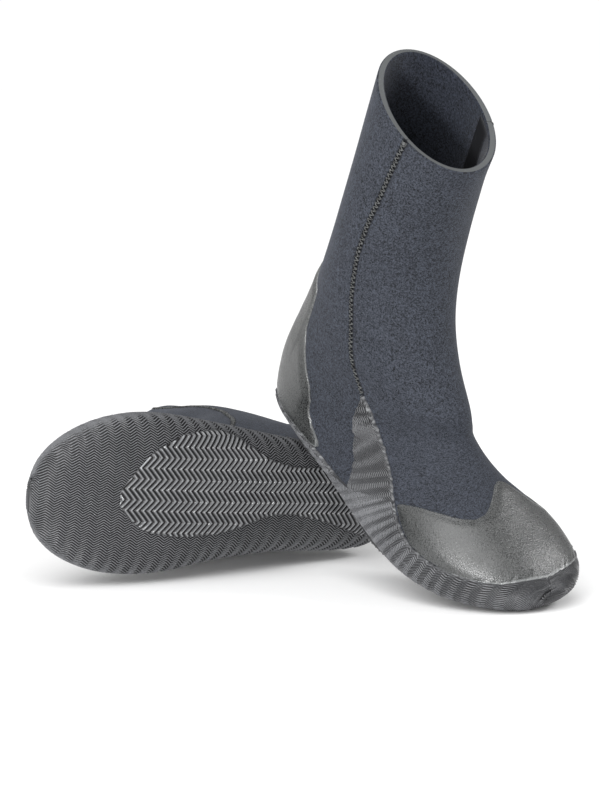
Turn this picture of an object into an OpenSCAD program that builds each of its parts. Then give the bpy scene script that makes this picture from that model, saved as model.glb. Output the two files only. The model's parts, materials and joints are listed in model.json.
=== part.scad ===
// A pair of pull-on neoprene boots: 5 mm neoprene uppers, rubber toe caps, heel counters and outsoles.
// The left boot lies on its inner side with the sole facing -Y, and the right boot stands on its toe
// against it.  Each boot is built in its own frame (x to the toe, y to the inner side, z up from the
// tread, heel at x = 0) and is then placed.  The left boot is the mirror image of the right one.

/* [Boot] */
// Outer length from heel to toe tip
boot_length = 288; // [270:1:305]
// Width scale of the foot and shaft, in percent
width_percent = 100; // [94:1:106]

/* [Neoprene] */
// Thickness of the laminated neoprene
neoprene_t = 5; // [3:0.5:6]
// Gap between butted panels, in degrees round the leg
panel_gap = 0.4; // [0.3:0.1:0.8]
// Width of the stitched seam band, in degrees round the leg
seam_band = 6; // [4:1:8]
// Height of the stitches over the neoprene
seam_proud = 0.8; // [0.4:0.1:1.2]
// Width of the glued inner seam tape, in degrees round the leg
tape_band = 20; // [14:1:26]
// Thickness of the inner seam tape
tape_t = 0.6; // [0.4:0.1:1]

/* [Rubber] */
// Thickness of the toe cap and heel counter
cap_t = 1.5; // [1:0.1:2]
// Thickness of the outsole where it wraps up the sides
side_t = 1.9; // [1.2:0.1:2.5]
// Thickness of the outsole under the foot
sole_t = 3; // [2:0.1:3.5]
// Thickness of the chevron tread pad
pad_t = 1.6; // [1:0.1:2]

/* [Inside] */
// Thickness of the lasting board
board_t = 1.6; // [1:0.1:2]
// Thickness of the loose foam footbed
footbed_t = 4; // [3:0.5:5]

/* [Flex of the ankle] */
// Height of the flex axis above the tread
flex_z = 165; // [163:1:167]
// Distance of the flex axis in front of the heel
flex_x = 75; // [73:1:77]
// Radius at which the shaft turns inside the foot
flex_r = 52; // [51:0.5:53]

/* [Hidden] */
// Outward roll, nose-down tilt and turn of the right boot, and the place of its pivot point
right_turn = [9, 31.5, -49];
right_at = [68.5, -105.2, 111.02];
// Lift of the toe, roll and turn of the left boot as it lies, and the place of its pivot point
left_turn = [1, 5.8, 32];
left_at = [-45, -27.6, 48.3];

gap = 0.3;              // clearance between layers that are glued on the real boot
curve_gap = 0.6;        // added to it where the heel and the toe curve tightly
pivot = [120, 0, 60];   // point of the boot that its placement turns about
slate = "#454b57";
foam = "#2b2d33";
rubber = "#5d6063";
tread = "#3c3e40";
thread = "#26282c";
tape = "#1c1d20";
eva = "#34363c";

// Sections of the outer face of the neoprene, from the collar to the toe tip:
// back x, back z, front x, front z, outer half width, inner half width, where the widest line lies
// from back to front (0 to 1), fullness of the back or bottom, fullness of the front or top,
// sideways shift
sections = [
    [14, 280, 108, 249, 38, 38, 0.50, 2.0, 2.0, 8],
    [19, 239, 108, 221, 40, 40, 0.50, 2.0, 2.0, 5],
    [24, 196, 110, 192, 42, 41, 0.50, 2.0, 2.0, 2],
    [26, 154, 118, 163, 41, 40, 0.50, 2.0, 2.0, -1],
    [25, 114, 133, 139, 39, 38, 0.50, 2.1, 2.0, -4],
    [19, 76, 153, 117, 38, 37, 0.45, 2.3, 2.0, -4],
    [17, 41, 172, 102, 36, 35, 0.40, 2.8, 2.0, -3],
    [25, 12, 177, 93, 36, 35, 0.34, 3.2, 2.0, -1],
    [54, 5, 180, 86, 37, 34, 0.30, 3.6, 2.0, 0],
    [100, 5, 192, 80, 41, 34, 0.28, 4.0, 2.05, 0],
    [150, 5, 206, 74, 48, 39, 0.28, 4.0, 2.1, 0],
    [198, 8, 222, 69, 53, 48, 0.28, 4.0, 2.15, 0],
    [235, 15, 242, 64, 49, 49, 0.29, 3.6, 2.2, 0],
    [261, 24, 263, 59, 38, 42, 0.32, 3.2, 2.2, 0],
    [278, 32, 278, 53, 23, 29, 0.38, 2.8, 2.1, 0],
    [285, 40, 285, 46, 6, 13, 0.45, 2.2, 2.0, 0]];
last = len(sections) - 1;
kx = boot_length / 288;
ky = width_percent / 100;

// Places on the boot are given by a section number s and an angle a round the section:
// 0 is the front or top, 90 the outer side, 180 the back or bottom and -90 the inner side.

// Half angle of the front panels, out to the side seams and then down under the arch
seam_line = [[0, 70], [1.4, 74], [2.6, 80], [3.6, 80], [4.7, 75], [5.7, 68], [7.8, 64],
    [8.6, 72], [9, 92], [9.5, 122], [10, 150], [10.4, 174], [last, 176]];
// Front and rear edges of the arch wing, by section
wing_front = [[5.85, 66.5], [6.4, 61], [7.2, 57], [8.2, 57], [8.8, 60], [9.3, 63], [9.8, 68]];
wing_rear = [[5.85, 67.5], [6.4, 69], [7.75, 70], [8.6, 78], [9.3, 92], [9.8, 98]];
// Upper edge of the outsole, by section
sole_edge = [[6.85, 142], [7.05, 131], [7.4, 121], [8, 111], [8.6, 105], [9, 101], [9.3, 94],
    [9.55, 82], [9.8, 68.5], [10.2, 72], [10.6, 75], [11, 77], [11.6, 76.5], [12.1, 74], [12.5, 70.5],
    [12.9, 67], [13.3, 60], [13.6, 48], [13.85, 30], [14.1, 6], [last, 1]];
// Rear edge of the toe cap by angle: a peak up the instep between two scallops
cap_rear = [[-76.5, 11.05], [-74, 10.6], [-68, 9.9], [-64, 10], [-60, 10.5], [-50, 11.15],
    [-42, 11.3], [-34, 11.1], [-26, 10.65], [-20, 10.3], [-12, 10.15], [-4, 10.35], [2, 10.76],
    [8, 11.1], [14, 11.28], [23, 11.3], [32, 11.05], [41, 10.65], [53, 10.2], [63, 9.95],
    [68, 9.9], [74, 10.6], [76.5, 11.05]];
cap_front = [[-76, 11.2], [-74, 12], [-70, 12.5], [-66, 12.9], [-58, 13.3], [-46, 13.55], [-28, 13.8],
    [0, 14.05], [28, 13.8], [46, 13.55], [58, 13.3], [66, 12.9], [70, 12.5], [74, 12], [76, 11.2]];
// Upper and lower edge of the heel counter, by angle from the back
counter_top = [[0, 3.5], [20, 3.58], [40, 3.75], [57, 3.98], [59, 4.35], [61, 4.8], [69, 5.2],
    [77, 5.7], [86, 6.3], [89, 6.8]];
counter_foot = [[0, 6.7], [38, 6.74], [48, 6.95], [58, 7.2], [69, 7.75], [77, 8.2], [81, 8.3],
    [86, 8.1], [89, 7.2]];
// Tread pad: x, outer edge y, inner edge y
pad_edge = [[31, -7, 7], [33, -15, 13], [38, -22, 19], [48, -26, 22], [60, -25, 19], [85, -23, 12],
    [110, -24, 8], [128, -28, 9], [141, -35, 14], [152, -42, 18], [169, -46, 22], [193, -44, 24],
    [215, -33, 22], [228, -18, 15], [236, -4, 3]];

function mix(a, b, t) = a + (b - a) * t;
function ease(a, b, v) = let (t = min(1, max(0, (v - a) / (b - a)))) t * t * (3 - 2 * t);
function curve(p, q, r, w, t) =
    q + t / 2 * ((r - p) + t * ((2 * p - 5 * q + 4 * r - w) + t * (3 * q - p - 3 * r + w)));
function section(s) =
    let (i = min(last - 1, max(0, floor(s))))
    curve(sections[max(0, i - 1)], sections[i], sections[i + 1], sections[min(last, i + 2)], s - i);
function power(v, e) = sign(v) * pow(abs(v), e);

// Point on the outer face of the neoprene
function skin(s, a) =
    let (r = section(s), c = cos(a), q = sin(a), e = 2 / (c >= 0 ? r[8] : r[7]), h = power(c, e),
        k = r[6] + (c >= 0 ? 1 - r[6] : r[6]) * h)
    [kx * mix(r[0], r[2], k), ky * (r[9] - (q >= 0 ? r[4] : r[5]) * power(q, e)), mix(r[1], r[3], k)];

// Direction straight out of that face
function out(s, a) =
    let (along = skin(min(last, s + 0.04), a) - skin(max(0, s - 0.04), a),
        round_ = skin(s, a + 1.5) - skin(s, a - 1.5), n = cross(round_, along))
    n / norm(n);
function at(s, a, d) = skin(s, a) + d * out(s, a);

// Section at which a line on the boot crosses the flex cylinder of radius r
function from_axis(p) = norm([p[0] - kx * flex_x, p[2] - flex_z]);
function crossing(line, d, r, lo = 3, hi = 7.5, n = 12) =
    let (m = (lo + hi) / 2)
    n == 0 ? m
    : from_axis(at(m, line(m), d)) < r ? crossing(line, d, r, m, hi, n - 1)
    : crossing(line, d, r, lo, m, n - 1);

// Height over the neoprene of the underside of a rubber piece
function bond(s) = gap + curve_gap * (ease(4.5, 5.5, s) - 0.7 * ease(8, 9, s) + 0.25 * ease(10.5, 11.5, s));

// Closed sheet between two faces of a grid.  corner(i, j, k) is a point of the outer face for k = 0
// and of the inner face for k = 1.
module sheet(rows, columns, corner) {
    w = columns + 1;
    m = (rows + 1) * w;
    points = [for (k = [0, 1]) for (j = [0:columns]) for (i = [0:rows]) corner(i, j, k)];
    function id(i, j, k) = k * m + j * (rows + 1) + i;
    function tile(p, q, r, t) = [[p, r, q], [p, t, r]];
    faces = [
        for (j = [0:columns - 1]) for (i = [0:rows - 1]) each concat(
            tile(id(i, j, 0), id(i, j + 1, 0), id(i + 1, j + 1, 0), id(i + 1, j, 0)),
            tile(id(i, j, 1), id(i + 1, j, 1), id(i + 1, j + 1, 1), id(i, j + 1, 1))),
        for (i = [0:rows - 1]) each concat(
            tile(id(i, 0, 0), id(i + 1, 0, 0), id(i + 1, 0, 1), id(i, 0, 1)),
            tile(id(i, columns, 0), id(i, columns, 1), id(i + 1, columns, 1), id(i + 1, columns, 0))),
        for (j = [0:columns - 1]) each concat(
            tile(id(0, j, 0), id(0, j, 1), id(0, j + 1, 1), id(0, j + 1, 0)),
            tile(id(rows, j, 0), id(rows, j + 1, 0), id(rows, j + 1, 1), id(rows, j, 1)))];
    polyhedron(points, faces);
}

// Sheet that follows the boot.  ends(u, k) gives its first and last section in the column u, angle(s, u)
// the angle of that column, and depth(s, a, k) the height of each face over the neoprene.
module wrap(rows, columns, ends, angle, depth) {
    spans = [for (k = [0, 1]) [for (j = [0:columns]) ends(j / columns, k)]];
    sheet(rows, columns, function(i, j, k)
        let (e = spans[k][j], s = mix(e[0], e[1], i / rows), a = angle(s, j / columns))
        at(s, a, depth(s, a, k)));
}

layer = function(low, high) function(s, a, k) k == 0 ? high : low;
neoprene = layer(-neoprene_t, 0);
rubber_layer = function(t) function(s, a, k) bond(s) + (k == 0 ? t : 0);
panel_edge = function(s, side) lookup(s, seam_line) + side * (panel_gap / 2 + 4 * ease(7.6, 8.6, s));
front_angle = function(s, u) mix(-1, 1, u) * panel_edge(s, -1);
rear_angle = function(s, u) let (h = panel_edge(s, 1)) mix(h, 360 - h, u);
seam_angle = function(side, band) function(s, u) side * lookup(s, seam_line) + (u - 0.5) * band;

// Neoprene above and below the flex line
module upper_panel(angle, columns) {
    wrap(9, columns, function(u, k)
        [0, crossing(function(s) angle(s, u), k == 0 ? 0 : -neoprene_t, flex_r - gap)],
        angle, neoprene);
}

module lower_panel(angle, rows, columns, end) {
    wrap(rows, columns, function(u, k)
        [crossing(function(s) angle(s, u), k == 0 ? 0 : -neoprene_t, flex_r + gap), end],
        angle, neoprene);
}

module shaft_front() { color(slate) upper_panel(front_angle, 14); }
module shaft_rear() { color(slate) upper_panel(rear_angle, 14); }
module vamp() { color(slate) lower_panel(front_angle, 24, 20, last - 0.02); }
module quarter() { color(slate) lower_panel(rear_angle, 19, 20, 10.25); }

// Bands that follow a side seam: stitches outside and tape inside
module seam_upper(side) {
    angle = seam_angle(side, seam_band);
    color(thread) wrap(14, 2, function(u, k) [0.03,
        crossing(function(s) angle(s, u), gap + (k == 0 ? seam_proud : 0), flex_r - gap)],
        angle, layer(gap, gap + seam_proud));
}

module seam_lower(side) {
    angle = seam_angle(side, seam_band);
    color(thread) wrap(5, 2, function(u, k)
        [crossing(function(s) angle(s, u), gap + (k == 0 ? seam_proud : 0), flex_r + gap), 5.6],
        angle, layer(gap, gap + seam_proud));
}

module seam_tape(side) {
    angle = seam_angle(side, tape_band);
    depth = -neoprene_t - 0.7;
    color(tape) wrap(14, 3, function(u, k) [0.15,
        crossing(function(s) angle(s, u), depth - (k == 1 ? tape_t : 0), flex_r - 2)],
        angle, layer(depth - tape_t, depth));
}

module toe_cap() {
    color(rubber) wrap(12, 20, function(u, k)
        let (a = mix(-76, 76, u)) [lookup(a, cap_rear), lookup(a, cap_front)],
        function(s, u) mix(-76, 76, u), rubber_layer(cap_t));
}

module heel_counter() {
    color(rubber) wrap(12, 16, function(u, k)
        let (a = abs(mix(-89, 89, u))) [lookup(a, counter_top), lookup(a, counter_foot)],
        function(s, u) 180 + mix(-89, 89, u), rubber_layer(cap_t));
}

// Outsole, which wraps up the sides, over the toe and up into a wing on each side of the arch
sole_depth = function(s, a, k)
    bond(s) + (k == 1 ? 0 : mix(sole_t, side_t, ease(15, 70, abs(a - 180))));

module wing(side) {
    wrap(10, 2, function(u, k) [5.85, 9.75],
        function(s, u) side * mix(lookup(s, side > 0 ? wing_front : wing_rear),
            lookup(s, side > 0 ? wing_rear : wing_front), u),
        function(s, a, k) bond(s) + (k == 0 ? side_t - 0.05 : 0.05));
}

module outsole() {
    color(tread) union() {
        wrap(30, 18, function(u, k) [6.85, last - 0.02],
            function(s, u) 180 + mix(-1, 1, u) * (180 - lookup(s, sole_edge)), sole_depth);
        wing(1);
        wing(-1);
    }
}

// Angle of the point of the underside at a distance y from the middle line
function under(s, y) =
    let (r = section(s), w = y < r[9] ? r[4] : r[5], v = min(1, abs(y - r[9]) / w))
    180 + (y < r[9] ? -1 : 1) * asin(pow(v, r[7] / 2));
function station(x, lo = 7, hi = 14, n = 14) =
    let (m = (lo + hi) / 2) n == 0 ? m : section(m)[0] < x ? station(x, m, hi, n - 1) : station(x, lo, m, n - 1);

// Plate on the underside.  edge gives x, outer y and inner y, and the faces lie at two depths.
module sole_plate(edge, rows, columns, low, high, straight_up = false) {
    xs = [for (i = [0:rows]) mix(edge[0][0], edge[len(edge) - 1][0], i / rows)];
    outer = [for (e = edge) [e[0], e[1]]];
    inner = [for (e = edge) [e[0], e[2]]];
    ss = [for (x = xs) station(x)];
    sheet(rows, columns, function(i, j, k)
        let (s = ss[i], y = mix(lookup(xs[i], outer), lookup(xs[i], inner), j / columns), a = under(s, y),
            d = k == 0 ? high : low)
        straight_up ? skin(s, a) + [0, 0, -d] : at(s, a, d));
}

// Depths of the tread pad's inner face and of the board's and footbed's outer faces
pad_low = bond(last) + sole_t + 3 * gap;
board_low = -neoprene_t - 2.3 * gap;
footbed_low = board_low - board_t - gap;
module tread_pad() {
    color(tread) sole_plate(pad_edge, 24, 6, pad_low, pad_low + pad_t);
}

// Inner plates follow the outline of the foot, inset from the wall of the boot
function plate_edge(inset) = [for (i = [0:16]) let (t = i / 16, x = mix(34 + inset, 260 - inset, t),
    r = section(station(x)), k = 0.7 * (pow(1 - pow(abs(2 * t - 1), 4), 0.25) * 0.9 + 0.1))
    [x, -k * r[4], k * r[5]]];

module lasting_board() {
    color(foam) sole_plate(plate_edge(10), 16, 6, board_low - board_t, board_low, true);
}

module footbed() {
    color(eva) sole_plate(plate_edge(11), 16, 6, footbed_low - footbed_t, footbed_low, true);
}

// Where each boot lies
module as_right() { translate(right_at) rotate(right_turn) translate(-pivot) children(); }
module as_left() {
    translate(left_at) rotate(left_turn) rotate([90, 0, 180]) translate(-pivot) mirror([0, 1, 0]) children();
}

as_right() shaft_front();  // right_shaft_front
as_right() shaft_rear();  // right_shaft_rear
as_right() vamp();  // right_vamp
as_right() quarter();  // right_quarter
as_right() seam_upper(1);  // right_outer_seam_upper
as_right() seam_lower(1);  // right_outer_seam_lower
as_right() seam_upper(-1);  // right_inner_seam_upper
as_right() seam_lower(-1);  // right_inner_seam_lower
as_right() seam_tape(1);  // right_outer_tape
as_right() seam_tape(-1);  // right_inner_tape
as_right() toe_cap();  // right_toe_cap
as_right() heel_counter();  // right_heel_counter
as_right() outsole();  // right_outsole
as_right() tread_pad();  // right_tread_pad
as_right() lasting_board();  // right_lasting_board
as_right() footbed();  // right_footbed
as_left() shaft_front();  // left_shaft_front
as_left() shaft_rear();  // left_shaft_rear
as_left() vamp();  // left_vamp
as_left() quarter();  // left_quarter
as_left() seam_upper(1);  // left_outer_seam_upper
as_left() seam_lower(1);  // left_outer_seam_lower
as_left() seam_upper(-1);  // left_inner_seam_upper
as_left() seam_lower(-1);  // left_inner_seam_lower
as_left() seam_tape(1);  // left_outer_tape
as_left() seam_tape(-1);  // left_inner_tape
as_left() toe_cap();  // left_toe_cap
as_left() heel_counter();  // left_heel_counter
as_left() outsole();  // left_outsole
as_left() tread_pad();  // left_tread_pad
as_left() lasting_board();  // left_lasting_board
as_left() footbed();  // left_footbed
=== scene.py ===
import bpy, bmesh, json, math
import numpy as np
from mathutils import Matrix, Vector


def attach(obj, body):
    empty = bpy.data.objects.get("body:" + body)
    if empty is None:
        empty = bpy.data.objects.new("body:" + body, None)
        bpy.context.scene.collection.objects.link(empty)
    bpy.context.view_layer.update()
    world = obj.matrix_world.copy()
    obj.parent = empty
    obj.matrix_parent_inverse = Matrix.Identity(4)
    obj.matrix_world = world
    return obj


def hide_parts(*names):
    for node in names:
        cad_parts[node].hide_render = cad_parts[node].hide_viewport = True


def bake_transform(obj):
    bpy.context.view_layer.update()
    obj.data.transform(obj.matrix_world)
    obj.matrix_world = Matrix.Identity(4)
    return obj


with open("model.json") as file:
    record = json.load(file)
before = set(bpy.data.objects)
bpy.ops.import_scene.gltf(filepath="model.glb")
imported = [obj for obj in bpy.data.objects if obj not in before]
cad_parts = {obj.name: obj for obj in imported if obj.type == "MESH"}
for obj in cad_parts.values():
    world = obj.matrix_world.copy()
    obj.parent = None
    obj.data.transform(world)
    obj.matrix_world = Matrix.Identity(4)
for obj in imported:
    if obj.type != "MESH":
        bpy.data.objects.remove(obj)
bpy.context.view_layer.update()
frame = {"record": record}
record = frame["record"]
print("frame loaded")

# A boot in its own frame, in mm: x to the toe, y to the inner side, z up. One row for each section from collar to toe:
# back x, back z, front x, front z, outer half width, inner half width, place of the widest line,
# fullness of the back or bottom, fullness of the front or top, sideways shift
sections = np.array([
    [14, 280, 108, 249, 38, 38, .50, 2.0, 2.0, 8], [19, 239, 108, 221, 40, 40, .50, 2.0, 2.0, 5],
    [24, 196, 110, 192, 42, 41, .50, 2.0, 2.0, 2], [26, 154, 118, 163, 41, 40, .50, 2.0, 2.0, -1],
    [25, 114, 133, 139, 39, 38, .50, 2.1, 2.0, -4], [19, 76, 153, 117, 38, 37, .45, 2.3, 2.0, -4],
    [17, 41, 172, 102, 36, 35, .40, 2.8, 2.0, -3], [25, 12, 177, 93, 36, 35, .34, 3.2, 2.0, -1],
    [54, 5, 180, 86, 37, 34, .30, 3.6, 2.0, 0], [100, 5, 192, 80, 41, 34, .28, 4.0, 2.05, 0],
    [150, 5, 206, 74, 48, 39, .28, 4.0, 2.1, 0], [198, 8, 222, 69, 53, 48, .28, 4.0, 2.15, 0],
    [235, 15, 242, 64, 49, 49, .29, 3.6, 2.2, 0], [261, 24, 263, 59, 38, 42, .32, 3.2, 2.2, 0],
    [278, 32, 278, 53, 23, 29, .38, 2.8, 2.1, 0], [285, 40, 285, 46, 6, 13, .45, 2.2, 2.0, 0]], float)
lastSection = 15

# edges of the pieces: section or angle against angle or section (0 front or top, 90 outer, 180 back or bottom)
seamLine = [(0, 70), (1.4, 74), (2.6, 80), (3.6, 80), (4.7, 75), (5.7, 68), (7.8, 64), (8.6, 72), (9, 92),
            (9.5, 122), (10, 150), (10.4, 174), (15, 176)]
wingFront = [(5.85, 66.5), (6.4, 61), (7.2, 57), (8.2, 57), (8.8, 60), (9.3, 63), (9.8, 68), (10.2, 72)]
wingRear = [(5.85, 67.5), (6.4, 69), (7.75, 70), (8.6, 78), (9.3, 92), (9.8, 98), (10.2, 100)]
soleEdge = [(6.85, 142), (7.05, 131), (7.4, 121), (8, 111), (8.6, 105), (9, 101), (9.3, 94), (9.55, 82),
            (9.8, 68.5), (10.2, 72), (10.6, 75), (11, 77), (11.6, 76.5), (12.1, 74), (12.5, 70.5), (12.9, 67),
            (13.3, 60), (13.6, 48), (13.85, 30), (14.08, 0), (15, 0)]
capRear = [(-76.5, 11.05), (-74, 10.6), (-68, 9.9), (-64, 10), (-60, 10.5), (-50, 11.15), (-42, 11.3),
           (-34, 11.1), (-26, 10.65), (-20, 10.3), (-12, 10.15), (-4, 10.35), (2, 10.76), (8, 11.1), (14, 11.28),
           (23, 11.3), (32, 11.05), (41, 10.65), (53, 10.2), (63, 9.95), (68, 9.9), (74, 10.6), (76.5, 11.05)]
capFront = [(0, 14.05), (28, 13.8), (46, 13.55), (58, 13.3), (66, 12.9), (70, 12.5), (74, 12), (76, 11.2)]
counterTop = [(0, 3.5), (20, 3.58), (40, 3.75), (57, 3.98), (59, 4.35), (61, 4.8), (69, 5.2), (77, 5.7),
              (86, 6.3), (89, 6.8)]
counterFoot = [(0, 6.7), (38, 6.74), (48, 6.95), (58, 7.2), (69, 7.75), (77, 8.2), (81, 8.3), (86, 8.1), (89, 7.2)]
padEdge = [(31, -7, 7), (33, -15, 13), (38, -22, 19), (48, -26, 22), (60, -25, 19), (85, -23, 12), (110, -24, 8),
           (128, -28, 9), (141, -35, 14), (152, -42, 18), (169, -46, 22), (193, -44, 24), (215, -33, 22),
           (228, -18, 15), (236, -4, 3)]


def mix(a, b, t):
    return a + (b - a) * t


def ease(a, b, v):
    t = np.clip((v - a) / (b - a), 0, 1)
    return t * t * (3 - 2 * t)


def follow(pairs, v, soften=0.0):
    x, y = np.array(pairs, float)[:, 0], np.array(pairs, float)[:, 1]
    if not soften:
        return np.interp(v, x, y)
    return sum(np.interp(v + soften * k, x, y) for k in (-1, -.5, 0, .5, 1)) / 5


def zigzag(t):
    return 1 - 4 * np.abs(t % 1 - .5)


def waves(x, seed, *lengths):
    return sum(np.sin(2 * np.pi * x / w + seed * (k + 1.7) * 2.3) for k, w in enumerate(lengths)) / len(lengths)


def power(v, e):
    return np.sign(v) * np.abs(v) ** e


def sectionAt(s):
    i = np.clip(np.floor(s).astype(int), 0, lastSection - 1)
    t = (s - i)[..., None]
    p, q = sections[np.maximum(i - 1, 0)], sections[i]
    r, w = sections[i + 1], sections[np.minimum(i + 2, lastSection)]
    return q + t / 2 * ((r - p) + t * ((2 * p - 5 * q + 4 * r - w) + t * (3 * q - p - 3 * r + w)))


def skin(s, a):
    s, a = np.broadcast_arrays(np.asarray(s, float), np.asarray(a, float))
    r, c, q = sectionAt(s), np.cos(np.radians(a)), np.sin(np.radians(a))
    e = 2 / np.where(c >= 0, r[..., 8], r[..., 7])
    h = power(c, e)
    k = r[..., 6] + np.where(c >= 0, 1 - r[..., 6], r[..., 6]) * h
    return np.stack([mix(r[..., 0], r[..., 2], k),
                     r[..., 9] - np.where(q >= 0, r[..., 4], r[..., 5]) * power(q, e),
                     mix(r[..., 1], r[..., 3], k)], -1)


def outward(s, a):
    along = skin(np.minimum(lastSection, s + .04), a) - skin(np.maximum(0, s - .04), a)
    n = np.cross(skin(s, a + 1.5) - skin(s, a - 1.5), along)
    return n / np.linalg.norm(n, axis=-1, keepdims=True)


def ripple(s, a):
    # slight give of the foam leg, the same for every layer
    soft = ease(0, .8, s) * (1 - ease(4.5, 5.6, s))
    return soft * (.45 * np.sin(np.radians(2 * a + 60 * s)) + .35 * np.sin(np.radians(3 * a - 95 * s + 40)))


def at(s, a, d):
    return skin(s, a) + (d + ripple(s, a))[..., None] * outward(s, a)


def bond(s):
    return .3 + .6 * (ease(4.5, 5.5, s) - .7 * ease(8, 9, s) + .25 * ease(10.5, 11.5, s))


# lengths over the surface, so that stitches, ribs and knit keep their real pitch
gridS, gridA = np.linspace(0, 15, 451), np.linspace(-180, 180, 721)
surfaceGrid = skin(gridS[:, None], gridA[None, :])
roundLength = np.concatenate([np.zeros((451, 1)), np.cumsum(
    np.linalg.norm(np.diff(surfaceGrid, axis=1), axis=-1), axis=1)], 1)
roundLength -= roundLength[:, 360:361]
lineLength = lambda a: np.concatenate([[0], np.cumsum(np.linalg.norm(np.diff(skin(gridS, a), axis=0), axis=-1))])
sideLength, bottomLength = (lineLength(70.) + lineLength(-70.)) / 2, lineLength(180.)


def roundRow(s):
    i = np.clip(s * 30, 0, 449.999)
    return mix(roundLength[int(i)], roundLength[int(i) + 1], i - int(i))


def roundAt(s, a):
    # signed length round the section, from the front or top line
    i = np.clip(s * 30, 0, 449.999)
    i0 = i.astype(int)
    turn = np.where(a > 180, a - 360, a)
    j = np.clip((turn + 180) * 2, 0, 719.999)
    j0 = j.astype(int)
    got = mix(mix(roundLength[i0, j0], roundLength[i0, j0 + 1], j - j0),
              mix(roundLength[i0 + 1, j0], roundLength[i0 + 1, j0 + 1], j - j0), i - i0)
    return np.where(a > 180, got + roundLength[i0, -1] - roundLength[i0, 0], got)


def angleFromBottom(s, w):
    # angle at the length w round the section from the bottom line, outer side positive
    angle = np.empty_like(w)
    for value in np.unique(s):
        row, here = roundRow(value), s == value
        outer, inner = (row[-1] - row[360:])[::-1], row[:361] - row[0]
        angle[here] = 180 - np.where(w[here] >= 0, np.interp(w[here], outer, np.sqrt(180 - gridA[360:][::-1])) ** 2,
                                     -np.interp(-w[here], inner, np.sqrt(gridA[:361] + 180)) ** 2)
    return angle


def bottomWidth(s, a, side):
    # length from the bottom line up to the angle a on one side
    rows = np.array([roundRow(v) for v in s])
    if side > 0:
        return np.array([r[-1] - np.interp(x, gridA, r) for r, x in zip(rows, a)])
    return np.array([np.interp(-x, gridA, r) - r[0] for r, x in zip(rows, a)])


# place of each boot, from the ankle joint and the tread in the record
ankle = {"forward": 75.0, "height": 165.0, "bendFrom": 138.0, "bendTo": 178.0}


def placeOf(side):
    hinge = next(j for j in record["behaviour"]["joints"] if j["name"] == side + "_ankle_flex")
    tread = next(m for m in record["mounts"] if m["name"] == side + "_tread")
    up, across = -Vector(tread["axis"]), Vector(hinge["axis"])
    toe = across.cross(up).normalized()
    inner = across if side == "right" else -across
    origin = Vector(hinge["pos_m"]) - toe * ankle["forward"] / 1000 - up * ankle["height"] / 1000
    return np.array([toe, inner, up]), np.array(origin)


places = {side: placeOf(side) for side in ("right", "left")}


def toWorld(side, points):
    axes, origin = places[side]
    return origin + points / 1000 @ axes


def flexed(piece):
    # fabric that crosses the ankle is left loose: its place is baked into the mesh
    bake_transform(piece)


# closed sheets that follow the boot; welding distances in m
sheets = {"weld": 3e-6, "sliver": 1e-6}


def makeSheet(side, name, rows, columns, lay, materials):
    # lay(u, v, under) gives points in mm, the surface map and the masks; materials are outer, inner and wall
    bm = bmesh.new()
    bmesh.ops.create_grid(bm, x_segments=rows, y_segments=columns, size=.5)
    second = bmesh.ops.extrude_face_region(bm, geom=bm.faces[:], use_keep_orig=True)["geom"]
    for part in second:
        if isinstance(part, bmesh.types.BMVert):
            part.co.z = 1
    for face in bm.faces:
        depth = sum(v.co.z for v in face.verts)
        face.material_index = 0 if depth < .5 else 1 if depth > len(face.verts) - .5 else 2
        face.smooth = True
    mesh = bpy.data.meshes.new(name)
    bm.to_mesh(mesh)
    bm.free()
    co = np.empty(len(mesh.vertices) * 3)
    mesh.vertices.foreach_get("co", co)
    co = co.reshape(-1, 3)
    points, surface, masks = lay(co[:, 0] + .5, co[:, 1] + .5, co[:, 2] > .5)
    mesh.vertices.foreach_set("co", toWorld(side, points).ravel())
    corner = np.empty(len(mesh.loops), int)
    mesh.loops.foreach_get("vertex_index", corner)
    mesh.uv_layers.new(name="surface").data.foreach_set("uv", (np.stack(surface, -1) / 1000)[corner].ravel())
    for mask, values in masks.items():
        attribute = mesh.attributes.new(mask, "FLOAT", "POINT")
        attribute.data.foreach_set("value", np.clip(values, 0, 1).astype(np.float32))
    for material in materials:
        mesh.materials.append(material)
    bm = bmesh.new()
    bm.from_mesh(mesh)
    bmesh.ops.remove_doubles(bm, verts=bm.verts[:], dist=sheets["weld"])
    bmesh.ops.dissolve_degenerate(bm, edges=bm.edges[:], dist=sheets["sliver"])
    bmesh.ops.recalc_face_normals(bm, faces=bm.faces[:])
    if bm.calc_volume(signed=True) < 0:
        bmesh.ops.reverse_faces(bm, faces=bm.faces[:])
    for edge in bm.edges:
        walls = sum(face.material_index == 2 for face in edge.link_faces)
        edge.smooth = not (walls == 1 and len(edge.link_faces) == 2)
    bm.to_mesh(mesh)
    bm.free()
    piece = bpy.data.objects.new(name, mesh)
    bpy.context.scene.collection.objects.link(piece)
    return piece


def stretch(s, a):
    # mm per section and mm per degree at a place
    return (np.linalg.norm(skin(np.minimum(s + .03, 15), a) - skin(np.maximum(s - .03, 0), a), axis=-1) / .06,
            np.linalg.norm(skin(s, a + 1) - skin(s, a - 1), axis=-1) / 2)


def rounded(distance, radius):
    # height of a rounded edge, 0 at the edge and 1 inside
    t = np.clip(distance / radius, 0, 1)
    return np.sqrt(np.clip(1 - (1 - t) ** 2, 0, 1))


# shader groups shared by the materials
def wire(tree, kind, values=None, **settings):
    node = tree.nodes.new(kind)
    for key, value in settings.items():
        setattr(node, key, value)
    for key, value in (values or {}).items():
        if isinstance(value, bpy.types.NodeSocket):
            tree.links.new(value, node.inputs[key])
        else:
            node.inputs[key].default_value = value
    return node


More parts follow.
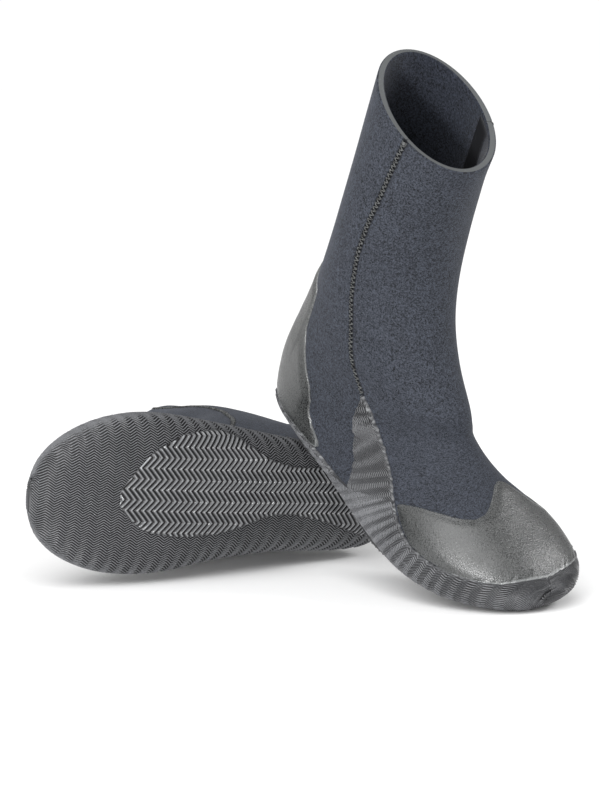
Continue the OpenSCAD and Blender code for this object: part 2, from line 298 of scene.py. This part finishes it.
def newGroup(name, inputs, outputs):
    group = bpy.data.node_groups.new(name, "ShaderNodeTree")
    for label, kind, value in inputs:
        socket = group.interface.new_socket(label, in_out="INPUT", socket_type=kind)
        if value is not None:
            socket.default_value = value
    for label in outputs:
        group.interface.new_socket(label, in_out="OUTPUT", socket_type="NodeSocketFloat")
    return group, group.nodes.new("NodeGroupInput").outputs, group.nodes.new("NodeGroupOutput").inputs


def maths(tree, operation, a, b=0.0, clamp=False):
    return wire(tree, "ShaderNodeMath", {0: a, 1: b}, operation=operation, use_clamp=clamp).outputs[0]


def makeGrain():
    # fine moulded grain: cloudy tone, small specks and a height for the bump
    group, given, result = newGroup("rubberGrain", [
        ("Vector", "NodeSocketVector", None), ("Grain", "NodeSocketFloat", 900.0),
        ("Specks", "NodeSocketFloat", .5)], ["Tone", "Height"])
    fine = wire(group, "ShaderNodeTexNoise", {"Vector": given["Vector"], "Scale": given["Grain"],
                                              "Detail": 3.0, "Roughness": .6})
    broad = wire(group, "ShaderNodeTexNoise", {"Vector": given["Vector"], "Scale": 38.0, "Detail": 3.0})
    pits = wire(group, "ShaderNodeTexVoronoi", {"Vector": given["Vector"], "Scale": given["Grain"]})
    specks = maths(group, "MULTIPLY", maths(group, "SUBTRACT", fine.outputs[0], .5), given["Specks"])
    cloud = maths(group, "MULTIPLY", maths(group, "SUBTRACT", broad.outputs[0], .5), .5)
    height = maths(group, "MULTIPLY", maths(group, "ADD", fine.outputs[0], pits.outputs[0]), .5)
    group.links.new(maths(group, "ADD", maths(group, "ADD", specks, cloud), .5, True), result["Tone"])
    group.links.new(height, result["Height"])
    return group


def makeKnit():
    # jersey face: wales and courses of tiny loops, with uneven yarn
    group, given, result = newGroup("knitFace", [
        ("Vector", "NodeSocketVector", None), ("Loops", "NodeSocketFloat", 1100.0),
        ("Contrast", "NodeSocketFloat", .6)], ["Tone", "Height"])
    parts = wire(group, "ShaderNodeSeparateXYZ", {0: given["Vector"]}).outputs
    turns = maths(group, "MULTIPLY", given["Loops"], 2 * math.pi)
    wale = maths(group, "SINE", maths(group, "MULTIPLY", parts[1], turns))
    course = maths(group, "SINE", maths(group, "MULTIPLY", parts[0], turns))
    loop = maths(group, "ADD", maths(group, "MULTIPLY", maths(group, "MULTIPLY", wale, course), .5), .5)
    fibres = wire(group, "ShaderNodeTexVoronoi", {"Vector": given["Vector"], "Scale": 1400.0})
    yarn = maths(group, "MULTIPLY", fibres.outputs["Color"], 1.0)  # one tone for each tuft of yarn
    heather = wire(group, "ShaderNodeTexNoise", {"Vector": given["Vector"], "Scale": 55.0, "Detail": 4.0}).outputs[0]
    uneven = maths(group, "MULTIPLY", maths(group, "SUBTRACT", yarn, .5), given["Contrast"])
    broad = maths(group, "MULTIPLY", maths(group, "SUBTRACT", heather, .5), .15)
    stitch = maths(group, "MULTIPLY", maths(group, "SUBTRACT", loop, .5), .22)
    tone = maths(group, "ADD", maths(group, "ADD", uneven, broad), stitch)
    group.links.new(maths(group, "ADD", tone, .5, True), result["Tone"])
    group.links.new(maths(group, "ADD", maths(group, "MULTIPLY", loop, .4), yarn), result["Height"])
    return group


def makeWearAndGlint():
    # worn edges and painted glints: a mask on the piece, broken up by noise
    group, given, result = newGroup("edgeWearAndGlint", [
        ("Vector", "NodeSocketVector", None), ("Edge", "NodeSocketFloat", 0.0),
        ("Spread", "NodeSocketFloat", .5)], ["Mask"])
    patch = wire(group, "ShaderNodeTexNoise", {"Vector": given["Vector"], "Scale": 420.0,
                                               "Detail": 4.0, "Roughness": .7})
    raised = maths(group, "MULTIPLY", given["Edge"], maths(group, "ADD", patch.outputs[0], given["Spread"]))
    group.links.new(maths(group, "MULTIPLY", maths(group, "SUBTRACT", raised, .35), 1.9, True), result["Mask"])
    return group


grainGroup, knitGroup, wearAndGlintGroup = makeGrain(), makeKnit(), makeWearAndGlint()


def linear(r, g, b):
    return tuple((c / 255 / 12.92) if c < 11 else ((c / 255 + .055) / 1.055) ** 2.4 for c in (r, g, b)) + (1.0,)


def startMaterial(name, direct):
    material = bpy.data.materials.new(name)
    material.use_nodes = True
    tree = material.node_tree
    shader = tree.nodes["Principled BSDF"]
    for key, value in direct.items():
        shader.inputs[key].default_value = value
    return material, tree, shader


def useGroup(tree, group, values):
    node = wire(tree, "ShaderNodeGroup", node_tree=group)
    for key, value in values.items():
        if isinstance(value, bpy.types.NodeSocket):
            tree.links.new(value, node.inputs[key])
        else:
            node.inputs[key].default_value = value
    return node.outputs


def ramp(tree, fac, low, high):
    return wire(tree, "ShaderNodeMix", {"Factor": fac, "A": low, "B": high}, data_type="RGBA").outputs[2]


def bump(tree, shader, height, strength, distance):
    node = wire(tree, "ShaderNodeBump", {"Height": height, "Strength": strength, "Distance": distance})
    tree.links.new(node.outputs[0], shader.inputs["Normal"])


def fabricMaterial(name, dark, light, loops, contrast, roughness, direct, bumpDepth=.0002, seamShade=0.0):
    material, tree, shader = startMaterial(name, direct)
    surface = wire(tree, "ShaderNodeTexCoord").outputs["UV"]
    knit = useGroup(tree, knitGroup, {"Vector": surface, "Loops": loops, "Contrast": contrast})
    base = ramp(tree, knit["Tone"], linear(*dark), linear(*light))
    # painted shade: the jersey darkens along the pinched seam groove, together with the seam's dark thread band
    if seamShade:
        seam = wire(tree, "ShaderNodeAttribute", attribute_name="seam").outputs["Fac"]
        base = ramp(tree, maths(tree, "MULTIPLY", seam, seamShade), base, linear(*dark))
    tree.links.new(base, shader.inputs["Base Color"])
    rough = maths(tree, "ADD", maths(tree, "MULTIPLY", knit["Tone"], .15), roughness - .08)
    tree.links.new(rough, shader.inputs["Roughness"])
    bump(tree, shader, knit["Height"], .55, bumpDepth)
    return material


def rubberMaterial(name, dark, light, wornAndGlint, grain, specks, rough, direct, spread=.5, bumpStrength=.35, ribShade=0.0):
    material, tree, shader = startMaterial(name, direct)
    place = wire(tree, "ShaderNodeTexCoord").outputs["Object"]
    skinGrain = useGroup(tree, grainGroup, {"Vector": place, "Grain": grain, "Specks": specks})
    edge = wire(tree, "ShaderNodeAttribute", attribute_name="edge").outputs["Fac"]
    wearAndGlint = useGroup(tree, wearAndGlintGroup, {"Vector": place, "Edge": edge, "Spread": spread})
    base = ramp(tree, skinGrain["Tone"], linear(*dark), linear(*light))
    # painted shade: the colour goes near black between the ribs and lugs, and stays lightest on their tops
    if ribShade:
        height = wire(tree, "ShaderNodeAttribute", attribute_name="ribShade").outputs["Fac"]
        depth = maths(tree, "MULTIPLY", maths(tree, "SUBTRACT", 1.0, height), ribShade)
        base = ramp(tree, depth, base, linear(8, 8, 9))  # dark between the ribs
    # the lighter tone is wear, and on the sole, wing and pad it is also a painted glint
    tree.links.new(ramp(tree, wearAndGlint["Mask"], base, linear(*wornAndGlint)), shader.inputs["Base Color"])
    roughness = maths(tree, "ADD", maths(tree, "MULTIPLY", skinGrain["Tone"], .22), rough - .11)
    polished = maths(tree, "SUBTRACT", roughness, maths(tree, "MULTIPLY", wearAndGlint["Mask"], .12), True)
    tree.links.new(polished, shader.inputs["Roughness"])
    bump(tree, shader, skinGrain["Height"], bumpStrength, .0003)
    return material


# colours are display values from 0 to 255
jersey = fabricMaterial("slateJersey", dark=(6, 7, 10), light=(63, 67, 76), loops=1150.0, contrast=1.15, roughness=.82,
                        seamShade=.9, direct={"Sheen Weight": .1, "Sheen Roughness": .4,
                                              "Sheen Tint": (.8, .84, .95, 1), "Specular IOR Level": .2})
lining = fabricMaterial("darkLining", dark=(8, 10, 14), light=(48, 52, 62), loops=1300.0, contrast=1.2, roughness=.9,
                        direct={"Sheen Weight": .1, "Specular IOR Level": .15})
cutFoam = rubberMaterial("cutFoam", dark=(38, 40, 42), light=(72, 74, 76), wornAndGlint=(80, 82, 83), grain=1400.0,
                         specks=.9, rough=.85, bumpStrength=.6, direct={"Specular IOR Level": .2})
# the thread's high contrast paints light glints on dark thread
thread = fabricMaterial("seamThread", dark=(6, 6, 7), light=(84, 86, 86), loops=600.0, contrast=1.6, roughness=.34,
                        bumpDepth=.0001, direct={"Specular IOR Level": .5})
tapeRubber = rubberMaterial("seamTape", dark=(12, 12, 14), light=(26, 27, 30), wornAndGlint=(40, 41, 44), grain=700.0,
                            specks=.5, rough=.5, direct={})
smoothRubber = rubberMaterial("smoothRubber", dark=(4, 5, 5), light=(62, 64, 64), wornAndGlint=(112, 114, 114), grain=1250.0,
                              specks=3.2, rough=.3, bumpStrength=1.0, direct={"Specular IOR Level": .9})
# sole and tread pad: ribShade paints shade between the ribs and lugs
soleRubber = rubberMaterial("herringboneRubber", dark=(84, 85, 88), light=(144, 145, 148), wornAndGlint=(150, 152, 154),
                            grain=1000.0, specks=1.6, rough=.32, ribShade=.99, direct={"Specular IOR Level": .2})
padRubber = rubberMaterial("treadRubber", dark=(70, 71, 73), light=(124, 125, 127), wornAndGlint=(160, 162, 164),
                           grain=900.0, specks=1.0, rough=.22, ribShade=.99, direct={"Specular IOR Level": .3})
boardFibre = rubberMaterial("boardFibre", dark=(34, 34, 36), light=(58, 57, 56), wornAndGlint=(70, 69, 68), grain=1500.0,
                            specks=1.0, rough=.9, direct={})
footFoam = rubberMaterial("footbedFoam", dark=(24, 25, 29), light=(42, 44, 49), wornAndGlint=(60, 62, 66), grain=1600.0,
                          specks=.9, rough=.85, bumpStrength=.6, direct={})
print("materials ready")

# neoprene panels: thickness, gap between the two, pull of the stitches and round of the collar edge
panels = {
    "thickness": 5.0, "butt": .15, "pinch": 1.0, "pinchRadius": 1.7, "rimRadius": .8, "soleGap": 4.0,
    "front": {"rows": 176, "columns": 60, "end": 14.98},
    "rear": {"rows": 150, "columns": 64, "end": 10.25}}


def panelLay(part):
    size = panels[part]

    def lay(u, v, under):
        s = size["end"] * np.interp(u, [0, 8 / size["rows"], 1], [0, .0025, 1])
        gap = panels["butt"] + panels["soleGap"] * ease(9.35, 9.7, s)
        half = follow(seamLine, s, .15) + (-gap if part == "front" else gap)
        v = np.interp(v, [0, .09, .91, 1], [0, .02, .98, 1])
        a = mix(-half, half, v) if part == "front" else mix(half, 360 - half, v)
        alongUnit, roundUnit = stretch(s, a)
        fromSeam = np.minimum(v, 1 - v) * (2 * half if part == "front" else 360 - 2 * half) * roundUnit
        fromRim = s * alongUnit
        pinch = panels["pinch"] * (1 - rounded(fromSeam, panels["pinchRadius"])) * (1 - ease(5.6, 6, s))
        rim = panels["rimRadius"] * (1 - rounded(fromRim, panels["rimRadius"]))
        d = np.where(under, -panels["thickness"] + rim, -pinch - rim)
        # seam: painted shade in the pinched seam groove, together with the seam's dark thread band
        masks = {"edge": 1 - ease(0, 2.5, fromRim), "seam": (1 - ease(1.3, 2.5, fromSeam)) * (1 - ease(5.75, 5.9, s))}
        return at(s, a, d), (np.interp(s, gridS, sideLength), roundAt(s, a)), masks
    return lay


def makePanel(side, part, *nodes):
    size = panels[part]
    piece = makeSheet(side, side + "_" + part + "_panel", size["rows"], size["columns"], panelLay(part),
                      [jersey, lining, cutFoam])
    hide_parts(*[side + "_" + n for n in nodes])
    flexed(piece)


# side seams: zigzag stitches outside and glued tape inside, starting with a close tack at the collar
seams = {"pitch": 3.1, "reach": 1.75, "thread": .4, "dive": .45, "lift": 1.05, "from": 1.4, "to": 5.84,
         "tackCount": 6, "tackPitch": .35}
tapes = {"band": 20.0, "depth": 1.0, "from": .12, "to": 5.3, "length": 210.0, "rows": 90, "columns": 14}


def makeStitches(side, face, sign):
    first, lastMm = seams["from"], np.interp(seams["to"], gridS, sideLength)
    run = lastMm - first - seams["tackCount"] * seams["tackPitch"]
    step = np.concatenate([np.full(seams["tackCount"], seams["tackPitch"]),
                           np.full(int(run / seams["pitch"] * 2), seams["pitch"] / 2)])
    starts = first + np.concatenate([[0], np.cumsum(step)])
    t = np.linspace(0, 1, 7)[:-1]
    along = (starts[:-1, None] + step[:, None] * t).ravel()
    way = np.where(np.arange(len(step)) % 2, 1, -1)[:, None]
    across = (way * (1 - 2 * t)).ravel() * seams["reach"] * (1 + .12 * waves(along, 3, 7.3, 11.9))
    loop = np.sin(np.pi * t) ** .6 * np.ones_like(way)
    height = (-seams["dive"] + seams["lift"] * loop).ravel() + .08 * waves(along, 5, 5.1, 13)
    s = np.interp(along, sideLength, gridS)
    a = sign * follow(seamLine, s, .15)
    points = toWorld(side, at(s, a + sign * across / stretch(s, a)[1], height))
    line = bpy.data.curves.new("stitchLine", "CURVE")
    line.dimensions, line.bevel_resolution, line.use_fill_caps = "3D", 1, True
    line.bevel_depth = seams["thread"] / 1000
    spline = line.splines.new("POLY")
    spline.points.add(len(points) - 1)
    spline.points.foreach_set("co", np.c_[points, np.ones(len(points))].ravel())
    holder = bpy.data.objects.new("stitchLine", line)
    bpy.context.scene.collection.objects.link(holder)
    bpy.context.view_layer.update()
    mesh = bpy.data.meshes.new_from_object(holder.evaluated_get(bpy.context.evaluated_depsgraph_get()))
    bpy.data.objects.remove(holder)
    co = np.empty(len(mesh.vertices) * 3)
    mesh.vertices.foreach_get("co", co)
    if not mesh.uv_layers:
        mesh.uv_layers.new(name="surface")
    corner = np.empty(len(mesh.loops), int)
    mesh.loops.foreach_get("vertex_index", corner)
    mesh.uv_layers[0].data.foreach_set("uv", co.reshape(-1, 3)[corner][:, [2, 0]].ravel())
    mesh.materials.clear()
    mesh.materials.append(thread)
    mesh.polygons.foreach_set("use_smooth", [True] * len(mesh.polygons))
    piece = bpy.data.objects.new(side + "_" + face + "_stitches", mesh)
    bpy.context.scene.collection.objects.link(piece)
    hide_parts(side + "_" + face + "_seam_upper", side + "_" + face + "_seam_lower")
    flexed(piece)


def makeTape(side, face, sign):
    def lay(u, v, under):
        s = mix(tapes["from"], tapes["to"], u)
        a = sign * (follow(seamLine, s, .15) + (v - .5) * tapes["band"])
        edge = np.minimum(np.minimum(v, 1 - v) * tapes["band"] * stretch(s, a)[1],
                          np.minimum(u, 1 - u) * tapes["length"])
        d = -panels["thickness"] - np.where(under, tapes["depth"] * (.3 + .7 * rounded(edge, 1.2)), -.1)
        return at(s, a, d), (np.interp(s, gridS, sideLength), roundAt(s, a)), {"edge": 1 - ease(0, 1.5, edge)}
    piece = makeSheet(side, side + "_" + face + "_glued_tape", tapes["rows"], tapes["columns"], lay, [tapeRubber] * 3)
    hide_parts(side + "_" + face + "_tape")
    flexed(piece)


# smooth rubber: toe cap and heel counter, thin at the free edge
smooth = {"thickness": 1.5, "edgeRadius": .9, "edgeLift": 1.0, "taper": 7.0, "crease": .3,
          "cap": {"rows": 110, "columns": 150, "half": 76.5}, "counter": {"rows": 100, "columns": 150, "half": 88.5}}


def rubberLay(part):
    size = smooth[part]
    middle = 0 if part == "cap" else 180

    def ends(turn):
        if part == "cap":
            return follow(capRear, turn, 1.6), follow(capFront, np.abs(turn)) + .1
        return follow(counterTop, np.abs(turn), 1.2), follow(counterFoot, np.abs(turn), 1.0) + .08

    def lay(u, v, under):
        turn = mix(-1, 1, np.interp(v, [0, .06, .94, 1], [0, .02, .98, 1])) * size["half"]
        first, final = ends(turn)
        u = np.interp(u, [0, .1, .9, 1], [0, .03, .97, 1])
        s, a = mix(first, final, u), turn + middle
        alongUnit, roundUnit = stretch(s, a)
        slope = (ends(turn + 1)[0] - ends(turn - 1)[0]) / 2 * alongUnit / roundUnit
        fromFree = np.minimum((s - first) * alongUnit / np.sqrt(1 + slope ** 2),
                              np.maximum(0, size["half"] - np.abs(turn)) * roundUnit * .8)
        fromSole = (final - s) * alongUnit
        thick = smooth["edgeLift"] * rounded(fromFree, smooth["edgeRadius"]) + \
            (smooth["thickness"] + bond(s) - smooth["edgeLift"]) * ease(0, smooth["taper"], fromFree)
        roundMm = roundAt(s, a)
        crease = smooth["crease"] * (1 - ease(1, 11, fromSole)) * waves(roundMm + .6 * fromSole, 2, 5.3, 8.9, 14.1)
        puddle = .12 * waves(roundMm, 4, 23, 37) * waves(np.interp(s, gridS, sideLength), 6, 19, 31)
        d = np.where(under, -.1, thick + crease + puddle * ease(2, 8, fromFree))
        edge = np.maximum(.55 * (1 - ease(.1, 1.6, fromFree)), (1 - ease(.5, 4, fromSole)) * .9)
        return at(s, a, d), (np.interp(s, gridS, sideLength), roundMm), {"edge": edge}
    return lay


def makeSmooth(side, part, node):
    size = smooth[part]
    piece = makeSheet(side, side + "_" + node + "_rubber", size["rows"], size["columns"], rubberLay(part),
                      [smoothRubber] * 3)
    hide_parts(side + "_" + node)
    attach(piece, side + "_foot")


# outsole: a fine herringbone sheet with a wing up each side of the arch
sole = {"underfoot": 3.0, "sides": 1.9, "pitch": 1.68, "period": 9.4, "swing": 1.55, "rib": .9,
        "bead": .35, "fray": .55, "edgeRadius": .8, "start": 6.87, "end": 14.97, "join": 9.8,
        "halfRound": 104, "wingFrom": 30.0, "wingTo": 150.0, "wingLean": 46.0, "wingTop": 5.86, "wingFoot": 10.1,
        "tip": (285.0, -3.0, 43.0), "tipRows": 5, "tipBulge": 1.6}
ribProfile = np.array([0, .14, 1, .14])


def ribs(index):
    return ribProfile[np.round(index).astype(int) % 4]


def soleSurface(s, w, edge, rib, under, rim):
    a = angleFromBottom(s, w)
    thick = mix(sole["underfoot"], sole["sides"], ease(15, 70, np.abs(a - 180)))
    lift = bond(s) + thick - .45
    ribbed = sole["rib"] * rib * ease(.2, 1.4, edge)
    bead = sole["bead"] * np.exp(-((edge - .9) / .8) ** 2) * rim
    d = np.where(under, -.1, (lift + ribbed) * (.25 + .75 * rounded(edge, sole["edgeRadius"])) + bead)
    return at(s, a, d), a


def soleLay(u, v, under):
    # ribs run along the sole, side by side across it, and the sheet's rows fall on their kinks
    row = np.round(u * soleRows)
    tip = np.clip((row - soleRows + sole["tipRows"]) / sole["tipRows"], 0, 1)
    along = np.minimum(soleFrom + row * sole["period"] / 4, soleTo)
    s = np.interp(along, bottomLength, gridS)
    s1 = np.unique(s)
    turn = follow(soleEdge, s1, .05)
    fray = sole["fray"] * waves(np.interp(s1, gridS, sideLength), 1, 3.7, 6.1, 10.3) * (1 - ease(13.3, 13.8, s1))
    high, low = bottomWidth(s1, turn, 1) + fray, bottomWidth(s1, turn, -1) + fray[::-1]
    toWing = ease(9.0, 9.25, s) * (1 - ease(9.75, 10.0, s))
    high, low = np.interp(s, s1, high), -np.interp(s, s1, low)
    index = (v - .5) * soleColumns
    free = index * sole["pitch"] / 4 + sole["swing"] * zigzag(along / sole["period"])
    w = np.clip(free, low, high)
    edge = np.maximum(np.minimum(high - w, w - low), np.maximum(4 * toWing, 4 * ease(14.0, 14.1, s)))
    rib = np.where(free == w, ribs(index), .4) * (1 - .6 * tip)
    rim = (.65 + .5 * waves(along, 7, 4.3, 7.9, 12.7)) * (1 - toWing) * ease(13.2, 12.4, s)
    points = soleSurface(s, w, edge, rib, under, rim)[0]
    # the last rows close to a point at the toe tip
    middle, closing = np.array(sole["tip"]), tip[..., None] > 0
    shrink = np.cos(tip * math.pi / 2)[..., None]
    points = middle + (points - middle) * np.where(
        closing, np.concatenate([np.ones_like(shrink), shrink, shrink], -1), 1)
    bulge = sole["tipBulge"] * np.sin(tip * math.pi / 2) - (points[..., 0] - middle[0]) * (1 - shrink[..., 0]) * .6
    points[..., 0] += np.where(tip > 0, bulge, 0) * np.where(under, .4, 1)
    # ribShade paints shade between the ribs and darkens the edges and walls; edge marks wear and painted glints along
    # the frayed rim
    masks = {"ribShade": mix(.35, rib ** 1.2, ease(.3, 1.2, edge)),
             "edge": (1 - ease(.3, 1.3, edge)) * (.35 + .45 * waves(along, 3, 2.9, 5.3, 9.1))}
    return points, (along, w), masks


soleFrom, soleTo = np.interp((sole["start"], sole["end"]), gridS, bottomLength)
soleRows = int((soleTo - soleFrom) / sole["period"] * 4) + 1 + sole["tipRows"]
soleColumns = 4 * int(2 * sole["halfRound"] / sole["pitch"])


def wingLay(sign):
    # carries the sole's ribs on up the arch, as far as the seam
    def lay(u, v, under):
        shift = np.interp(sole["join"], gridS, bottomLength) - np.interp(sole["join"], gridS, sideLength)
        top, foot = np.interp((sole["wingTop"], sole["wingFoot"]), gridS, sideLength)
        along = top + u * (foot - top)
        s = np.interp(along, sideLength, gridS)
        s1 = np.unique(s)
        fray = sole["fray"] * waves(np.interp(s1, gridS, sideLength), 2 + sign, 3.1, 5.9, 9.7) * ease(5.9, 6.3, s1)
        high = np.interp(s, s1, bottomWidth(s1, follow(wingFront, s1, .08), sign) + fray)
        low = np.interp(s, s1, bottomWidth(s1, follow(wingRear, s1, .08), sign) - fray[::-1])
        index = v * wingColumns
        lean = sole["wingLean"] * (index / wingColumns - .5) * ease(9.2, 8.2, s)
        kink = sole["swing"] * zigzag((along + shift + lean) / sole["period"])
        free = sole["wingFrom"] + index * sole["pitch"] / 4 + kink
        w = np.clip(free, low, high)
        edge = np.minimum(high - w, np.maximum(w - low, 4 * ease(9.0, 9.3, s)))
        rib = np.where(free == w, ribs(index), .4)
        rim = .5 + .45 * waves(along, 9 + sign, 3.9, 7.1)
        points, a = soleSurface(s, sign * w, edge, rib, under, rim)
        tuck = np.where(under, 0, .12 * ease(9.2, 9.5, s))
        points = points - tuck[..., None] * outward(s, a)
        # ribShade paints shade between the ribs, a little darker over the whole wing than on the sole; edge marks wear
        # and painted glints along the frayed rims
        masks = {"ribShade": mix(.3, rib ** 1.5 * .85, ease(.3, 1.2, edge)),
                 "edge": (1 - ease(.3, 1.6, edge)) * (.5 + .5 * waves(along, 3, 2.9, 5.3, 9.1))}
        return points, (along + shift, sign * w), masks
    return lay


wingColumns = 4 * int((sole["wingTo"] - sole["wingFrom"]) / sole["pitch"])


def joined(name, pieces):
    bm = bmesh.new()
    for piece in pieces:
        bm.from_mesh(piece.data)
    pieces[0].data.name = name
    bm.to_mesh(pieces[0].data)
    bm.free()
    for piece in pieces[1:]:
        bpy.data.objects.remove(piece)
    return pieces[0]


def makeSole(side):
    parts = [makeSheet(side, side + "_herringbone_outsole", soleRows, soleColumns, soleLay, [soleRubber] * 3)]
    for sign in (1, -1):
        parts.append(makeSheet(side, side + "_wing", 46, wingColumns, wingLay(sign), [soleRubber] * 3))
    piece = joined(side + "_herringbone_outsole", parts)
    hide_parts(side + "_outsole")
    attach(piece, side + "_foot")


# chevron tread pad, lasting board and footbed
pad = {"pitch": 3.9, "period": 14.2, "swing": 3.0, "lug": 1.25, "thickness": 1.6, "steps": 8,
       "first": 31.2, "last": 235.8, "outerMost": -49.7, "innerMost": 28.4, "columns": 44}
lugProfile = np.array([0, 0, .3, .85, 1, 1, .6, .1])
plates = {"fibre_board": {"inset": 10, "low": -5.69, "thickness": 1.6},
          "foam_footbed": {"inset": 11, "low": -7.59, "thickness": 4.0}}
backLine = skin(gridS, 180.)[:, 0]
footFrom = np.searchsorted(gridS, 7.0)


def stationOf(x):
    return np.interp(x, backLine[footFrom:], gridS[footFrom:])


def underAngle(s, y):
    r = sectionAt(s)
    wide = np.where(y < r[..., 9], r[..., 4], r[..., 5])
    turn = np.degrees(np.arcsin(np.clip(np.abs(y - r[..., 9]) / wide, 0, 1) ** (r[..., 7] / 2)))
    return 180 + np.where(y < r[..., 9], -1, 1) * turn


def padLay(u, v, under):
    # lugs run across the foot, one behind the other along it
    index = np.round(u * padRows)
    xg = pad["first"] - pad["swing"] + index * pad["pitch"] / pad["steps"]
    yg = mix(pad["outerMost"], pad["innerMost"], v)
    y, x = yg, xg
    outer, inner = [(e[0], e[1]) for e in padEdge], [(e[0], e[2]) for e in padEdge]
    for again in range(12):  # settles x and y on the chevron
        x = np.clip(xg + pad["swing"] * zigzag(y / pad["period"]), pad["first"], pad["last"])
        y = mix(y, np.clip(yg, follow(outer, x, 4.), follow(inner, x, 4.)), .6)
    low, high = follow(outer, x, 4.), follow(inner, x, 4.)
    y = np.clip(yg, low, high)
    edge = np.minimum(np.minimum(y - low, high - y), np.minimum(x - pad["first"], pad["last"] - x))
    rib = np.where((y == yg), lugProfile[index.astype(int) % pad["steps"]], .3)
    s = stationOf(x)
    a = underAngle(s, y)
    top = bond(np.full_like(s, 15.)) + sole["underfoot"] + .9 + pad["thickness"]
    d = np.where(under, bond(s) + sole["underfoot"] - .35, top - pad["lug"] * (1 - rib * ease(.1, .8, edge)))
    # ribShade paints shade between the lugs; edge marks wear and painted glints on the rim and the lug tops
    return at(s, a, d), (x, y), {"ribShade": rib, "edge": (1 - ease(.2, 1.2, edge)) * .3 + .45 * (rib > .9)}


padRows = int((pad["last"] - pad["first"] + 2 * pad["swing"]) / pad["pitch"] * pad["steps"])


def makePad(side):
    piece = makeSheet(side, side + "_chevron_pad", padRows, pad["columns"], padLay, [padRubber] * 3)
    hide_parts(side + "_tread_pad")
    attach(piece, side + "_foot")


def plateLay(size):
    def lay(u, v, under):
        t = np.interp(u, [0, .08, .92, 1], [.002, .015, .985, .998])
        x = mix(34 + size["inset"], 260 - size["inset"], t)
        s = stationOf(x)
        r = sectionAt(s)
        k = .7 * ((1 - np.abs(2 * t - 1) ** 4) ** .25 * .9 + .1)
        v = np.interp(v, [0, .1, .9, 1], [0, .03, .97, 1])
        y = mix(-k * r[..., 4], k * r[..., 5], v)
        edge = np.minimum(np.minimum(v, 1 - v) * k * 80, np.minimum(t, 1 - t) * 220)
        deep = size["thickness"] * (.5 + .5 * rounded(edge, size["thickness"] * .6))
        lift = -size["low"] + np.where(under, size["thickness"] - deep, deep)
        a = underAngle(s, y)
        return skin(s, a) + lift[..., None] * np.array([0, 0, 1.]), (x, y), {"edge": 1 - ease(0, 2, edge)}
    return lay


def makePlate(side, part, node, material):
    piece = makeSheet(side, side + "_" + part, 80, 40, plateLay(plates[part]), [material] * 3)
    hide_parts(side + "_" + node)
    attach(piece, side + "_foot")
    return piece


for side in ("right", "left"):
    makePanel(side, "front", "shaft_front", "vamp")
    makePanel(side, "rear", "shaft_rear", "quarter")
    for face, sign in (("outer", 1), ("inner", -1)):
        makeStitches(side, face, sign)
        makeTape(side, face, sign)
    print(side, "panels and seams made")
    makeSmooth(side, "cap", "toe_cap")
    makeSmooth(side, "counter", "heel_counter")
    makeSole(side)
    makePad(side)
    makePlate(side, "fibre_board", "lasting_board", boardFibre)
    makePlate(side, "foam_footbed", "footbed", footFoam)
    print(side, "rubber and inner parts made")

# floor, light and camera
studio = {"target": (.0003, -.0922, .1193), "distance": 1.95, "elevation": .145, "lens": 175.5, "sensor": 36,
          "world": (1.0, 1.0, 1.0, 1), "worldStrength": .5, "backdrop": 1.02,
          "floorSize": 8, "floorDrop": .0006, "floorTones": ((.93, .93, .93, 1), (.97, .97, .97, 1)),
          "aim": (0, 0, .12), "lights": {
              "skyLight": ("SUN", (-1.2, -1.9, 2.6), math.radians(70), 2.7),
              "keyLight": ("AREA", (-.7, -1.8, .2), .3, 24),
              "rimLight": ("AREA", (1.25, -.15, .9), .5, 9)}}


def makeFloor():
    bm = bmesh.new()
    bmesh.ops.create_grid(bm, x_segments=8, y_segments=8, size=studio["floorSize"])
    mesh = bpy.data.meshes.new("floor")
    bm.to_mesh(mesh)
    bm.free()
    floor = bpy.data.objects.new("floor", mesh)
    floor.location.z = -studio["floorDrop"]
    bpy.context.scene.collection.objects.link(floor)
    material, tree, shader = startMaterial("paleFloor", {"Roughness": .7, "Specular IOR Level": .2})
    place = wire(tree, "ShaderNodeTexCoord").outputs["Object"]
    tone = wire(tree, "ShaderNodeTexNoise", {"Vector": place, "Scale": 3.0})
    tree.links.new(ramp(tree, tone.outputs[0], *studio["floorTones"]), shader.inputs["Base Color"])
    mesh.materials.append(material)


def makeLight(name, kind, place, size, power):
    light = bpy.data.lights.new(name, kind)
    light.energy = power
    if kind == "SUN":
        light.angle = size
    else:
        light.shape, light.size = "DISK", size
    holder = bpy.data.objects.new(name, light)
    holder.location = place
    holder.rotation_euler = (Vector(studio["aim"]) - Vector(place)).to_track_quat("-Z", "Y").to_euler()
    bpy.context.scene.collection.objects.link(holder)


def makeWorld():
    # white behind the boots, softer where it lights them
    world = bpy.data.worlds.new("studioWorld")
    world.use_nodes = True
    tree = world.node_tree
    sky = tree.nodes["Background"]
    seen = wire(tree, "ShaderNodeLightPath").outputs["Is Camera Ray"]
    extra = maths(tree, "MULTIPLY", seen, studio["backdrop"] - studio["worldStrength"])
    sky.inputs[0].default_value = studio["world"]
    tree.links.new(maths(tree, "ADD", extra, studio["worldStrength"]), sky.inputs[1])
    bpy.context.scene.world = world


def makeCamera():
    camera = bpy.data.objects.new("camera", bpy.data.cameras.new("camera"))
    e, target = studio["elevation"], Vector(studio["target"])
    camera.location = target + studio["distance"] * Vector((0, -math.cos(e), math.sin(e)))
    camera.rotation_euler = (target - camera.location).to_track_quat("-Z", "Y").to_euler()
    camera.data.sensor_fit = "HORIZONTAL"
    camera.data.sensor_width = studio["sensor"]
    camera.data.lens = studio["lens"]
    camera.data.clip_end = 40
    bpy.context.scene.collection.objects.link(camera)
    bpy.context.scene.camera = camera


makeFloor()
for name, light in studio["lights"].items():
    makeLight(name, *light)
makeWorld()
bpy.context.scene.view_settings.view_transform = "Standard"
makeCamera()
print("floor, lights and camera set")
